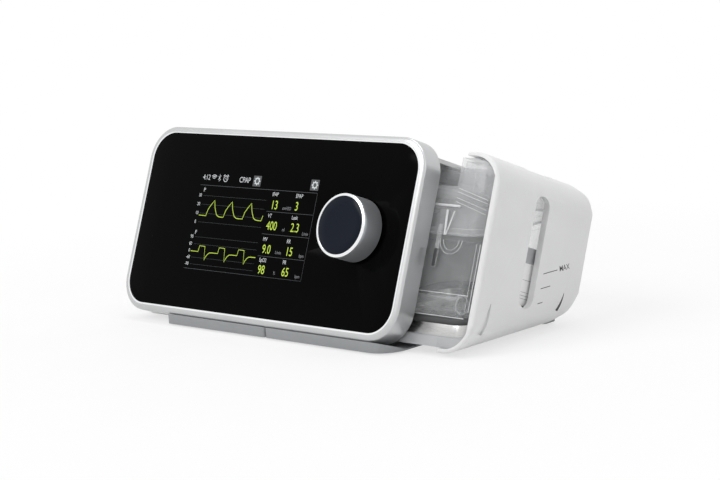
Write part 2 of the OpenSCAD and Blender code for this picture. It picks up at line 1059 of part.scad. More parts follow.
module housing_screws() {
    color([0.7, 0.7, 0.72])
        for (spot = screw_spots)
            translate([spot[0], spot[1], under_z])
                difference() {
                    union() {
                        cylinder(r = 2.8, h = 1.3);
                        cylinder(r = 1.5, h = 11);
                    }
                    translate([0, 0, -1])
                        cylinder(r = 1.2, h = 1.8, $fn = 6);
                }
}

front_frame();
front_glass();
display_module();
front_carrier();
display_board();
encoder_body();
encoder_plunger();
encoder_shaft();
knob();
knob_ring();
knob_face();
main_housing();
bay_liner();
base_plate();
plinth_left();
plinth_right();
rubber_feet();
heater_plate();
heater_base();
main_board();
buzzer();
motor_can();
blower_base();
blower_cover();
rotor_shaft();
impeller();
inlet_silencer();
blower_duct();
outlet_duct();
outlet_port();
port_seals();
power_socket();
filter_frame();
air_filter();
filter_cover();
drawer_cover();
drawer_tray();
water_tub();
tank_seal();
tank_lid();
tank_tube();
lid_latch();
pan_seal();
tank_pan();
drawer_foot();
housing_screws();
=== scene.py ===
import math
from contextlib import contextmanager

import bmesh
import bpy
from mathutils import Matrix, Vector


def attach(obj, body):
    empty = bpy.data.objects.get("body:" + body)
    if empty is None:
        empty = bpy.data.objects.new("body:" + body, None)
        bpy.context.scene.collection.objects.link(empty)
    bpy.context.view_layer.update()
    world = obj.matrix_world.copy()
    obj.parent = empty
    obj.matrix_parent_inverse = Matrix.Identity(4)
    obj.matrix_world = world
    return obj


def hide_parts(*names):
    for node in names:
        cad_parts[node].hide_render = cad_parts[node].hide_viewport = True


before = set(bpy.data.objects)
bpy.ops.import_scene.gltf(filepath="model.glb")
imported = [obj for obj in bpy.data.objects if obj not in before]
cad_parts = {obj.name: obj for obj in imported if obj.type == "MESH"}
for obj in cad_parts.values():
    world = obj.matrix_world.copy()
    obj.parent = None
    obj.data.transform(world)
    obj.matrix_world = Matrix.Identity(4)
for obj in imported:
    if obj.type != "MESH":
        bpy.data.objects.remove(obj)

bpy.ops.object.select_all(action="DESELECT")
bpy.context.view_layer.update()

# Lengths are in millimetres, and settle() brings them to metres
MM = 0.001

# The leaning front, and the outline of the frame round its glass
LEAN = math.radians(21.3)
GLASS_Y = -34
GLASS_Z = 65.5
FRAME_W = 246
FRAME_H = 123
FRAME_R = 21.5
FRAME_V = -0.3
FRAME_DEEP = 14.6
SIDE_X = FRAME_W / 2

# How far the drawer stands out at rest
DRAWER_OUT = 45.5
OUT = Matrix.Translation((DRAWER_OUT, 0, 0))

# The front has a frame of its own: X to the right, Y up the slope, Z out of the glass.
# A place on it is given by x, v up the slope and t, the depth behind the glass.
PANEL = Matrix((
    (1, 0, 0, 0),
    (0, math.sin(LEAN), -math.cos(LEAN), GLASS_Y),
    (0, math.cos(LEAN), math.sin(LEAN), GLASS_Z),
    (0, 0, 0, 1),
))


# Finishes

class NodeTree:
    """A node tree, with short ways to add its nodes and to link them."""

    def __init__(self, tree):
        self.nodes = tree.nodes
        self.links = tree.links

    def node(self, kind, **settings):
        """Adds a node; a setting that starts with in_ is for the input of that name or number."""
        node = self.nodes.new(kind)
        for name, value in settings.items():
            if name.startswith("in_"):
                key = name[3:]
                key = int(key) if key.isdigit() else key.replace("_", " ")
                node.inputs[key].default_value = value
            else:
                setattr(node, name, value)
        return node

    def link(self, source, target):
        self.links.new(source, target)

    def joined(self, node, *sources):
        """Links sources to a node's first inputs, and returns its first output."""
        for source, target in zip(sources, node.inputs):
            self.link(source, target)
        return node.outputs[0]

    def maths(self, operation, a, b):
        return self.joined(self.node("ShaderNodeMath", operation=operation), a, b)

    def mix_shaders(self, share, first, second):
        return self.joined(self.node("ShaderNodeMixShader"), share, first, second)

    def seen(self):
        """1 where the camera looks, by itself or through gloss or glass, and 0 elsewhere."""
        path = self.node("ShaderNodeLightPath").outputs
        seen = self.maths("MAXIMUM", path["Is Camera Ray"], path["Is Glossy Ray"])
        return self.maths("MAXIMUM", seen, path["Is Transmission Ray"])


class Finish(NodeTree):
    """A material whose pattern is built from the piece's own coordinates, in millimetres."""

    def __init__(self, name, colour, roughness, metallic=0.0):
        self.name = name
        self.colour = colour
        self.material = bpy.data.materials.new(name)
        self.material.use_nodes = True
        super().__init__(self.material.node_tree)
        self.shader = self.nodes["Principled BSDF"]
        self.set(Base_Color=(*colour, 1), Roughness=roughness, Metallic=metallic)

    def set(self, **sockets):
        for name, value in sockets.items():
            self.shader.inputs[name.replace("_", " ")].default_value = value
        return self

    def position(self, scale=(1, 1, 1), on_panel=False):
        """The point on the piece in millimetres, in the object's frame or in the front's."""
        where = self.node("ShaderNodeTexCoord").outputs["Object"]
        if on_panel:
            moved = self.node("ShaderNodeMapping", vector_type="TEXTURE",
                              in_Location=(0, GLASS_Y * MM, GLASS_Z * MM),
                              in_Rotation=(math.pi / 2 - LEAN, 0, 0))
            where = self.joined(moved, where)
        return self.joined(self.node("ShaderNodeMapping", in_Scale=[s / MM for s in scale]), where)

    def noise(self, size, detail=3.0, stretch=(1, 1, 1)):
        """Soft noise whose blotches are about size millimetres across."""
        noise = self.node("ShaderNodeTexNoise", in_Scale=1 / size, in_Detail=detail)
        self.joined(noise, self.position(stretch))
        return noise.outputs["Fac"]

    def ramp(self, source, low, high, v0, v1):
        """Maps source from low..high to v0..v1."""
        ranged = self.node("ShaderNodeMapRange", in_1=low, in_2=high, in_3=v0, in_4=v1)
        return self.joined(ranged, source)

    def drift(self, size, v0, v1, **kind):
        """A value that drifts between v0 and v1 over the piece."""
        return self.ramp(self.noise(size, **kind), 0.3, 0.7, v0, v1)

    def mix(self, share, first, second):
        """Blends two colours."""
        mix = self.node("ShaderNodeMix", data_type="RGBA", in_6=(*first, 1), in_7=(*second, 1))
        self.link(share, mix.inputs["Factor"])
        return mix.outputs[2]

    def tint(self, size, dark, light, **kind):
        """Colour drifts between two shades of the base colour."""
        low = tuple(c * dark for c in self.colour)
        high = tuple(min(1, c * light) for c in self.colour)
        shade = self.mix(self.drift(size, 0, 1, **kind), low, high)
        self.link(shade, self.shader.inputs["Base Color"])
        return self

    def wear(self, size, low, high, **kind):
        """Roughness drifts between two values."""
        self.link(self.drift(size, low, high, **kind), self.shader.inputs["Roughness"])
        return self

    def bump(self, height, depth):
        """Raises the surface by depth millimetres where height is 1."""
        bump = self.node("ShaderNodeBump", in_Distance=depth * MM)
        self.link(height, bump.inputs["Height"])
        last = self.shader.inputs["Normal"]
        if last.is_linked:
            self.link(last.links[0].from_socket, bump.inputs["Normal"])
        self.link(bump.outputs["Normal"], last)
        return self

    def grain(self, size, depth, **kind):
        return self.bump(self.noise(size, **kind), depth)


def moulded(name, colour, roughness, grain_mm=0.45, depth=0.012):
    """Injection-moulded plastic with a fine spark-eroded grain and slight sink marks."""
    finish = Finish(name, colour, roughness)
    finish.tint(size=38, dark=0.975, light=1.02)
    finish.wear(size=16, low=roughness - 0.05, high=roughness + 0.06)
    finish.grain(grain_mm, depth, detail=2)
    finish.grain(size=24, depth=0.04, detail=1)
    return finish.set(Specular_IOR_Level=0.45)


def drawn_metal(name, colour, low, high, stretch=(1, 1, 1)):
    """Metal with fine parallel scratches; stretch squeezes the noise across them."""
    scratch = 0.35
    finish = Finish(name, colour, (low + high) / 2, metallic=1.0)
    finish.wear(scratch, low, high, stretch=stretch, detail=4)
    finish.grain(scratch, depth=0.004, stretch=stretch, detail=3)
    return finish.tint(size=30, dark=0.95, light=1.03)


def clear_moulding(name, colour, roughness, thin, thick):
    """Clear plastic: lets light through where it is seen square on, and is whiter at a slant."""
    finish = Finish(name, colour, roughness)
    slant = finish.node("ShaderNodeLayerWeight", in_Blend=0.3)
    share = finish.ramp(slant.outputs["Facing"], 0.25, 0.98, thin, thick)
    haze = finish.drift(11, 0.85, 1.15, detail=4)
    finish.link(finish.maths("MULTIPLY", share, haze), finish.shader.inputs["Alpha"])
    finish.wear(size=9, low=roughness * 0.7, high=roughness * 1.4)
    return finish.grain(size=14, depth=0.05, detail=1, stretch=(1, 1, 2))


def board(name, colour):
    """Circuit board with its tracks and lacquer."""
    finish = Finish(name, colour, 0.35)
    tracks = finish.node("ShaderNodeTexVoronoi", feature="DISTANCE_TO_EDGE",
                         distance="CHEBYCHEV", in_Scale=0.4)
    finish.joined(tracks, finish.position())
    line = finish.ramp(tracks.outputs["Distance"], 0.04, 0.09, 1, 0)
    light = tuple(min(1, c * 1.7 + 0.02) for c in colour)
    finish.link(finish.mix(line, colour, light), finish.shader.inputs["Base Color"])
    return finish.bump(line, depth=0.03)


def felt(name, colour):
    finish = Finish(name, colour, 0.95)
    finish.tint(size=1.2, dark=0.8, light=1.1, detail=6)
    finish.grain(size=0.5, depth=0.3, detail=5)
    return finish.set(Sheen_Weight=0.3, Sheen_Roughness=0.5)


def glow(name, colour, strength):
    """Lit drawing on the screen, with a faint ripple of its pixels."""
    finish = Finish(name, (0, 0, 0), 0.4)
    pixels = finish.node("ShaderNodeTexChecker", in_Scale=7.4)
    finish.joined(pixels, finish.position(on_panel=True))
    dim = tuple(c * 0.93 for c in colour)
    lit = finish.mix(pixels.outputs["Fac"], colour, dim)
    finish.link(lit, finish.shader.inputs["Emission Color"])
    return finish.set(Emission_Strength=strength)


white_shell = moulded("white_shell", (0.755, 0.757, 0.76), 0.36)
pale_plastic = moulded("pale_plastic", (0.60, 0.61, 0.62), 0.42)
tray_plastic = moulded("tray_plastic", (0.44, 0.45, 0.46), 0.42)
# Dark grey painted shade that lines a recess, where shade falls in it
recess_painted_shade = moulded("recess_painted_shade", (0.22, 0.22, 0.225), 0.5)
grey_base = moulded("grey_base", (0.30, 0.31, 0.32), 0.5, grain_mm=0.3, depth=0.02)
inner_plastic = moulded("inner_plastic", (0.12, 0.125, 0.13), 0.5)
dark_plastic = moulded("dark_plastic", (0.05, 0.052, 0.055), 0.45)
screen_parts = moulded("screen_parts", (0.2, 0.2, 0.21), 0.4)
level_white = moulded("level_white", (0.94, 0.94, 0.94), 0.4)
impeller_plastic = moulded("impeller_plastic", (0.7, 0.71, 0.72), 0.4)
heater_insulation = moulded("heater_insulation", (0.62, 0.6, 0.52), 0.7, grain_mm=0.8, depth=0.05)
black_rubber = moulded("black_rubber", (0.018, 0.018, 0.02), 0.62, grain_mm=0.25, depth=0.03)
seal_rubber = moulded("seal_rubber", (0.08, 0.081, 0.083), 0.5, grain_mm=0.25, depth=0.03)
clear_rubber = clear_moulding("clear_rubber", (0.8, 0.82, 0.84), 0.4, thin=0.35, thick=0.7)
clear_plastic = clear_moulding("clear_plastic", (0.8, 0.82, 0.83), 0.1, thin=0.13, thick=0.5)
# Whiter, nearly opaque clear plastic: painted highlight for the edges and ribs of the clear
# mouldings
clear_painted_highlight = clear_moulding("clear_painted_highlight", (0.93, 0.94, 0.95), 0.2, thin=0.62, thick=0.9)
clear_pale = clear_moulding("clear_pale", (0.84, 0.85, 0.86), 0.15, thin=0.26, thick=0.82)
clear_tube = clear_moulding("clear_tube", (0.94, 0.95, 0.96), 0.12, thin=0.04, thick=0.95)
circuit_board = board("circuit_board", (0.02, 0.12, 0.055))
filter_felt = felt("filter_felt", (0.75, 0.78, 0.82))
steel_parts = drawn_metal("steel_parts", (0.55, 0.55, 0.56), 0.25, 0.4, (1, 1, 12))
heater_alloy = drawn_metal("heater_alloy", (0.62, 0.63, 0.64), 0.28, 0.42, (0.03, 1, 1))
brushed_pan = drawn_metal("brushed_pan", (0.55, 0.55, 0.545), 0.22, 0.4, (0.05, 0.05, 3))
knob_satin = drawn_metal("knob_satin", (0.6, 0.62, 0.65), 0.28, 0.4).set(Metallic=0.8)
knob_bright = drawn_metal("knob_bright", (0.9, 0.91, 0.92), 0.08, 0.14)
frame_metal = drawn_metal("frame_metal", (0.55, 0.555, 0.56), 0.28, 0.36, (0.05, 0.05, 1))
frame_metal.set(Metallic=0.75)
frame_polish = drawn_metal("frame_polish", (0.9, 0.91, 0.92), 0.1, 0.16, (0.05, 0.05, 1))
black_glass = Finish("black_glass", (0.0016, 0.0016, 0.0018), 0.08).set(Specular_IOR_Level=0.022)
black_glass.wear(size=30, low=0.06, high=0.11, detail=5).grain(size=60, depth=0.02, detail=1)
knob_gloss = Finish("knob_gloss", (0.006, 0.009, 0.017), 0.12).set(Specular_IOR_Level=0.09)
knob_gloss.wear(size=12, low=0.1, high=0.16, detail=4).grain(size=20, depth=0.01, detail=1)
mark_ink = Finish("mark_ink", (0.03, 0.03, 0.035), 0.5).wear(size=3, low=0.4, high=0.6)
level_ink = Finish("level_ink", (0.3, 0.3, 0.31), 0.5).wear(size=3, low=0.4, high=0.6)
lime_glow = glow("lime_glow", (0.55, 0.75, 0.05), 1.0)
white_glow = glow("white_glow", (0.75, 0.78, 0.8), 0.85)
dim_glow = glow("dim_glow", (0.35, 0.36, 0.38), 0.6)
grey_glow = glow("grey_glow", (0.1, 0.11, 0.12), 0.6)

FINISHES = {
    "front_frame": frame_metal, "front_glass": black_glass, "display_module": screen_parts,
    "front_carrier": inner_plastic, "display_board": circuit_board, "encoder_body": steel_parts,
    "encoder_plunger": pale_plastic, "encoder_shaft": steel_parts, "knob": knob_satin,
    "knob_ring": knob_bright, "knob_face": knob_gloss, "main_housing": white_shell,
    "bay_liner": pale_plastic, "base_plate": grey_base, "plinth_left": grey_base,
    "plinth_right": grey_base, "rubber_feet": black_rubber, "heater_plate": heater_alloy,
    "heater_base": heater_insulation, "main_board": circuit_board, "buzzer": dark_plastic,
    "motor_can": steel_parts, "blower_base": inner_plastic, "blower_cover": inner_plastic,
    "rotor_shaft": steel_parts, "impeller": impeller_plastic, "inlet_silencer": inner_plastic,
    "blower_duct": inner_plastic, "outlet_duct": inner_plastic, "outlet_port": pale_plastic,
    "port_seals": clear_rubber, "power_socket": dark_plastic, "filter_frame": inner_plastic,
    "air_filter": filter_felt, "filter_cover": white_shell, "drawer_cover": white_shell,
    "drawer_tray": tray_plastic, "water_tub": clear_plastic, "tank_seal": clear_rubber,
    "tank_lid": clear_pale, "tank_tube": clear_tube, "lid_latch": dark_plastic,
    "pan_seal": seal_rubber, "tank_pan": brushed_pan, "drawer_foot": grey_base,
    "housing_screws": steel_parts,
}

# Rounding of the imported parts' edges, where they are seen
ROUNDINGS = {
    "front_glass": 0.1, "plinth_left": 0.15, "plinth_right": 0.15, "housing_screws": 0.2,
    "filter_cover": 0.3, "bay_liner": 0.3, "base_plate": 0.3, "tank_pan": 0.3,
    "power_socket": 0.3, "drawer_tray": 0.4, "outlet_port": 0.5, "heater_plate": 0.5,
    "rubber_feet": 0.5,
}


def dress(node, finish, rounding):
    """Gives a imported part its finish, joins its loose triangles and rounds its sharp edges."""
    node.data.materials.clear()
    node.data.materials.append(finish.material)
    weld = node.modifiers.new("weld", "WELD")
    weld.merge_threshold = 0.002 * MM
    if rounding:
        bevel = node.modifiers.new("rounding", "BEVEL")
        bevel.width = rounding * MM
        bevel.segments = 3
        bevel.limit_method = "ANGLE"
        bevel.angle_limit = math.radians(38)
        bevel.harden_normals = True
    for face in node.data.polygons:
        face.use_smooth = True


for name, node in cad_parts.items():
    dress(node, FINISHES[name], ROUNDINGS.get(name))


# Modelling

def add(kind, name, **size):
    """Adds a primitive under its own name."""
    bpy.ops.object.select_all(action="DESELECT")
    getattr(bpy.ops.mesh, f"primitive_{kind}_add")(**size)
    piece = bpy.context.object
    piece.name = name
    piece.data.name = name
    return piece


def only(piece):
    bpy.ops.object.select_all(action="DESELECT")
    bpy.context.view_layer.objects.active = piece
    piece.select_set(True)


@contextmanager
def editing(piece, mode):
    """Edit mode on one piece, with nothing selected at the start."""
    only(piece)
    bpy.ops.object.mode_set(mode="EDIT")
    bpy.ops.mesh.select_mode(type=mode)
    bpy.ops.mesh.select_all(action="DESELECT")
    yield
    bpy.ops.object.mode_set(mode="OBJECT")
    piece.select_set(False)


def pick(piece, kind, wanted):
    """Selects only the verts, edges or faces that wanted() accepts."""
    bpy.ops.mesh.select_all(action="DESELECT")
    mesh = bmesh.from_edit_mesh(piece.data)
    for part in getattr(mesh, kind):
        if wanted(part):
            part.select_set(True)
    bmesh.update_edit_mesh(piece.data)


def pick_all():
    bpy.ops.mesh.select_all(action="SELECT")


def extrude(rise):
    bpy.ops.mesh.extrude_region_move(TRANSFORM_OT_translate={"value": (0, 0, rise)})


def face_outwards():
    pick_all()
    bpy.ops.mesh.normals_make_consistent()


def block(name, low, high, place=Matrix()):
    """Box between two corners."""
    piece = add("cube", name, size=1)
    piece.data.transform(Matrix.Translation([(a + b) / 2 for a, b in zip(low, high)])
                         @ Matrix.Diagonal([b - a for a, b in zip(low, high)]).to_4x4())
    piece.data.transform(place)
    return piece


def modify(piece, kind, **settings):
    """Adds a modifier and applies it."""
    modifier = piece.modifiers.new(kind.lower(), kind)
    for name, value in settings.items():
        setattr(modifier, name, value)
    only(piece)
    bpy.ops.object.modifier_apply(modifier=modifier.name)
    piece.select_set(False)


def cut(piece, tool, operation="DIFFERENCE"):
    """Cuts one closed piece by another, and removes the tool."""
    modify(piece, "BOOLEAN", object=tool, operation=operation, solver="EXACT")
    bpy.data.objects.remove(tool)


def along(axis, radius):
    """Rule for round_edges() that rounds the edges along one axis, which is 0, 1 or 2."""
    return lambda at, direction: radius if abs(direction[axis]) > 0.9 else 0


def round_edges(piece, radius_at, segments):
    """Rounds each edge by the radius that its middle and its direction give."""
    radii = []
    for edge in piece.data.edges:
        start, end = (piece.data.vertices[k].co for k in edge.vertices)
        radii.append(radius_at((start + end) / 2, (end - start).normalized()))
    largest = max(radii)
    layer = piece.data.attributes.new("bevel_weight_edge", "FLOAT", "EDGE")
    layer.data.foreach_set("value", [r / largest for r in radii])
    modify(piece, "BEVEL", width=largest, segments=segments, limit_method="WEIGHT",
           use_clamp_overlap=False)
    piece.data.attributes.remove(piece.data.attributes["bevel_weight_edge"])


def crisp(piece, width, finishes=()):
    """Small rounding on every sharp edge; with two finishes, the rounding gets the second."""
    for finish in finishes:
        piece.data.materials.append(finish.material)
    modify(piece, "BEVEL", width=width, segments=3, limit_method="ANGLE",
           angle_limit=math.radians(40), use_clamp_overlap=True, miter_outer="MITER_ARC",
           material=len(finishes) - 1)


def two_finishes(piece, first, second, is_second):
    """Gives a piece its first finish, and the second on the faces that is_second() accepts."""
    for finish in (first, second):
        piece.data.materials.append(finish.material)
    for face in piece.data.polygons:
        face.material_index = int(is_second(face))


def smooth(piece, angle=35):
    only(piece)
    bpy.ops.object.shade_smooth_by_angle(angle=math.radians(angle))
    piece.select_set(False)


def together(name, pieces):
    """Joins pieces into one."""
    bpy.ops.object.select_all(action="DESELECT")
    for piece in pieces:
        piece.select_set(True)
    bpy.context.view_layer.objects.active = pieces[0]
    bpy.ops.object.join()
    pieces[0].name = name
    pieces[0].data.name = name
    pieces[0].select_set(False)
    return pieces[0]


def settle(piece, body, finish, replaces=None, place=Matrix()):
    """Brings a piece to its place, with its finish and the body that carries it."""
    piece.data.transform(Matrix.Scale(MM, 4) @ place)
    if not piece.data.materials:
        piece.data.materials.append(finish.material)
    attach(piece, body)
    if replaces:
        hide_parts(replaces)


# Casing: one leaning form, from which the housing and the drawer's cover are cut.
# Its top stands TOP_STEP below the frame's.

UNDER_Z = 2.3
BODY_DEEP = 109
WALL = 2.6
SIDE_WALL = 4.2
DECK_Z = UNDER_Z + WALL
TOP_STEP = 3.8
TOP_V = FRAME_V + FRAME_H / 2 - TOP_STEP
TOP_REAR_R = 12
LOW_REAR_R = 23
SIDE_REAR_R = 5
UNDER_R = 20

# Seams where the cover starts, at its top and at its lip, and the gap between it and the casing
COVER_X = 95.5
LIP_X = 99.5
LIP_Z = DECK_Z + 8
GAP = 0.3

# How far the cutting tools reach past the casing: across and up, along Y, and below the table
FAR = 300
FAR_Y = 200
BELOW = -50

# Slim recesses in the cover's side: t, middle v, length, width at the wide end, and whether the
# recess is lined with painted shade
RECESSES = ((27.2, -38.2, 18.5, 5.5, False), (91.8, -16, 11, 3.0, True))
RECESS_DEEP = 1.5


def casing_form(name, inset, front_t, front_r=0.0):
    """Closed form of the casing drawn in by inset, behind depth front_t."""
    half = SIDE_X - inset
    top = TOP_V - inset
    back = BODY_DEEP - inset

    def foot_v(t):
        return (UNDER_Z + inset - GLASS_Z + t * math.sin(LEAN)) / math.cos(LEAN)

    form = block(name, (-half, foot_v(front_t), -back), (half, top, -front_t))
    with editing(form, "VERT"):
        pick(form, "verts", lambda v: v.co.y < 0 and v.co.z < -back + 1)
        bpy.ops.transform.translate(value=(0, foot_v(back) - foot_v(front_t), 0))

    def radius(at, direction):
        at_top = at.y > top - 1
        at_rear = at.z < -back + 1
        at_side = abs(at.x) > half - 1
        if at_rear and abs(direction.x) > 0.9:
            # The lower rear edge isn't square, so its radius takes another bevel width
            blunt = (LOW_REAR_R - inset) / math.tan(math.pi / 4 + LEAN / 2)
            return TOP_REAR_R - inset if at_top else blunt
        if at_rear and at_side:
            return SIDE_REAR_R - inset
        if at_side and at.z < -front_t - 1:
            return (FRAME_R if at_top else UNDER_R) - inset
        return 0

    round_edges(form, radius, segments=28)
    if front_r:
        with editing(form, "EDGE"):
            pick(form, "edges", lambda e: all(abs(v.co.z + front_t) < 0.01 for v in e.verts))
            bpy.ops.mesh.bevel(offset=front_r, segments=5, affect="EDGES")
    form.data.transform(PANEL)
    return form


def drum(name, radius, start, length, vertices, axis="Z"):
    """Cylinder from its start point along Y or Z of the table's frame."""
    turn = {"Y": Matrix.Rotation(-math.pi / 2, 4, "X"), "Z": Matrix()}[axis]
    form = add("cylinder", name, radius=radius, depth=length, vertices=vertices)
    form.data.transform(Matrix.Translation(start) @ turn
                        @ Matrix.Translation((0, 0, length / 2)))
    return form


def side_drum(name, radius, x0, x1, v, t, place=Matrix()):
    """Cylinder along X at a place of the panel."""
    form = add("cylinder", name, radius=radius, depth=x1 - x0, vertices=48)
    form.data.transform(place @ Matrix.Translation(((x0 + x1) / 2, v, -t))
                        @ Matrix.Rotation(math.pi / 2, 4, "Y"))
    return form


def slab(name, width, height, corner, t0, t1, x, v):
    """Plate with rounded corners at a place of the panel, as a closed tool."""
    plate = block(name, (x - width / 2, v - height / 2, -t1), (x + width / 2, v + height / 2, -t0))
    round_edges(plate, along(2, corner), segments=8)
    plate.data.transform(PANEL)
    return plate


def sight_slot():
    """Tool for the long hole with round ends through the cover's side."""
    t, v = 57.5, 7.5
    radius = 6.5
    reach = 27
    x0, x1 = SIDE_X - 10, SIDE_X + 1
    tool = block("slot", (x0, v - reach, -t - radius), (x1, v + reach, -t + radius))
    for side in (-1, 1):
        cut(tool, side_drum("slot_end", radius, x0, x1, v + side * reach, t), "UNION")
    tool.data.transform(PANEL)
    return tool


def thumb_groove():
    """Tool for a shallow groove over the cover's rounded upper edge."""
    deep = 0.5
    half = 6
    t0, t1 = 52, 79
    angle = math.radians(77)
    groove = block("thumb_groove", (FRAME_R - deep, -half, -t1), (FRAME_R + 4, half, -t0))
    round_edges(groove, along(0, 4), segments=6)
    groove.data.transform(PANEL @ Matrix.Translation((SIDE_X - FRAME_R, TOP_V - FRAME_R, 0))
                          @ Matrix.Rotation(angle, 4, "Z"))
    return groove


def recess_tool(t, v, length, wide):
    """Tool for a recess that narrows upwards, with a floor that follows the cover's surface."""
    behind = 0.3
    narrow = 0.12
    tool = block("recess", (SIDE_X - 20, v - length / 2, -t - behind),
                 (SIDE_X + 5, v + length / 2, wide - t - behind))
    with editing(tool, "VERT"):
        pick(tool, "verts", lambda corner: corner.co.y > v)
        bpy.ops.transform.resize(value=(1, 1, narrow), center_override=(0, v, -t))
    tool.data.transform(PANEL)
    cut(tool, casing_form("recess_floor", RECESS_DEEP, front_t=5))
    return tool


def drawer_cover():
    """C-shaped cover of the drawer with its sight slot, lip, slim recesses and thumb groove; the
    rear recess is lined with painted shade.
    """
    cover = casing_form("cover_shell", 0, FRAME_DEEP + GAP, front_r=2.2)
    hollow = casing_form("cover_hollow", WALL, FRAME_DEEP - 1)
    cut(hollow, block("side_part", (SIDE_X - SIDE_WALL, -FAR, -FAR), (FAR, FAR, FAR)))
    cut(cover, hollow)
    cut(cover, block("left_part", (-FAR, -FAR_Y, BELOW), (COVER_X + GAP / 2, FAR_Y, FAR)))
    cut(cover, block("lip_step", (0, -FAR_Y, BELOW), (LIP_X, FAR_Y, LIP_Z)))
    cut(cover, sight_slot())
    cut(cover, thumb_groove())
    two_finishes(cover, white_shell, recess_painted_shade, lambda face: False)
    # A recess marked for it gets painted shade on the faces that its tool cuts
    for *size, has_painted_shade in RECESSES:
        tool = recess_tool(*size)
        two_finishes(tool, white_shell, recess_painted_shade, lambda face: has_painted_shade)
        cut(cover, tool)
    crisp(cover, 0.8)
    smooth(cover)
    settle(cover, "drawer", white_shell, "drawer_cover", OUT)


def main_housing():
    """White casing with openings for the drawer, the air filter, the hose port and the supply."""
    under = DECK_Z + 0.1
    housing = casing_form("housing_shell", 0, FRAME_DEEP)
    cut(housing, casing_form("housing_hollow", WALL, FRAME_DEEP - 1))
    cut(housing, block("drawer_part", (COVER_X - GAP / 2, -FAR_Y, BELOW), (FAR, FAR_Y, FAR)))
    for y in (-18, 36):
        boss = drum("screw_boss", radius=4.2, start=(-92, y, under), length=16, vertices=32)
        cut(boss, drum("screw_hole", radius=1.5, start=(-92, y, 0), length=18, vertices=24))
        cut(housing, boss, "UNION")
    cut(housing, block("base_part", (-98, -FAR_Y, -5), (FAR, 40.2, under)))
    cut(housing, slab("filter_part", width=50.6, height=34.6, corner=4, t0=103, t1=115,
                      x=-80, v=26))
    cut(housing, drum("port_part", radius=14, start=(-12, 58, 50), length=30, axis="Y",
                      vertices=96))
    cut(housing, drum("supply_part", radius=5.4, start=(-100, 48.5, 22), length=24, axis="Y",
                      vertices=48))
    crisp(housing, 0.5)
    smooth(housing)
    settle(housing, "root", white_shell, "main_housing")


# Ring round the glass. Along its front edge runs a roll, then comes a flat edge, the glass's
# seat and the ledge behind it. The hollow behind the ledge ends at a collar.

ROLL = 3.6
ROLL_DEEP = 1.8
SEAT = 4.65
SEAT_DEEP = 2
LEDGE = 6.5
LEDGE_DEEP = 3
COLLAR_T = 8
HOLLOW_WALL = 3


def on_outline(at):
    """Whether a point lies on the frame's outer outline."""
    x = abs(at.x)
    v = abs(at.y - FRAME_V)
    straight_x = SIDE_X - FRAME_R
    straight_v = FRAME_H / 2 - FRAME_R
    if x > straight_x and v > straight_v:
        return abs(math.hypot(x - straight_x, v - straight_v) - FRAME_R) < 0.3
    return abs(x - SIDE_X) < 0.1 or abs(v - FRAME_H / 2) < 0.1


def front_frame():
    """Ring with a satin side and roll, and a polished flat edge beside the glass."""
    ring = add("plane", "frame_ring", size=1)
    ring.data.transform(Matrix.Translation((0, FRAME_V, 0))
                        @ Matrix.Diagonal((FRAME_W, FRAME_H, 1, 1)))
    with editing(ring, "VERT"):
        pick_all()
        bpy.ops.mesh.bevel(offset=FRAME_R, segments=20, affect="VERTICES")
    with editing(ring, "FACE"):
        pick_all()
        extrude(-FRAME_DEEP)
        face_outwards()
    with editing(ring, "FACE"):
        pick(ring, "faces", lambda f: f.normal.z > 0.9)
        bpy.ops.mesh.inset(thickness=SEAT)
        extrude(-SEAT_DEEP)
        bpy.ops.mesh.inset(thickness=LEDGE - SEAT)
        extrude(-LEDGE_DEEP)
        bpy.ops.mesh.delete(type="FACE")
        pick(ring, "faces", lambda f: f.normal.z < -0.9
             and f.calc_center_median().z < -FRAME_DEEP + 0.1)
        bpy.ops.mesh.inset(thickness=LEDGE)
        extrude(FRAME_DEEP - COLLAR_T)
        extrude(0)
        wider = [(size - 2 * HOLLOW_WALL) / (size - 2 * LEDGE) for size in (FRAME_W, FRAME_H)]
        bpy.ops.transform.resize(value=(*wider, 1), center_override=(0, FRAME_V, 0))
        extrude(COLLAR_T - SEAT_DEEP - LEDGE_DEEP)
        bpy.ops.mesh.delete(type="FACE")
    with editing(ring, "EDGE"):
        pick(ring, "edges", lambda e: e.is_boundary)
        bpy.ops.mesh.bridge_edge_loops()
        face_outwards()
    with editing(ring, "EDGE"):
        pick(ring, "edges", lambda e: all(
            abs(v.co.z) < 0.01 and on_outline(v.co) and any(f.normal.z < 0.5 for f in v.link_faces)
            for v in e.verts))
        bpy.ops.mesh.bevel(offset=ROLL, segments=8, affect="EDGES", profile=0.5)
    with editing(ring, "VERT"):
        pick(ring, "verts", lambda v: v.co.z > -ROLL - 0.01 and abs(v.co.z + SEAT_DEEP) > 0.001)
        bpy.ops.transform.resize(value=(1, 1, ROLL_DEEP / ROLL), center_override=(0, 0, 0))
    two_finishes(ring, frame_metal, frame_polish,
                 lambda f: f.normal.z > 0.3 and f.center.z > -0.005)
    smooth(ring, 50)
    settle(ring, "root", frame_metal, "front_frame", PANEL)


# Knob: a satin cup, a bright bevel that stands at its full width, and a dark glossy face.
# Outlines are given by radius and height over the glass, and the ring is bright above BRIGHT_FROM.

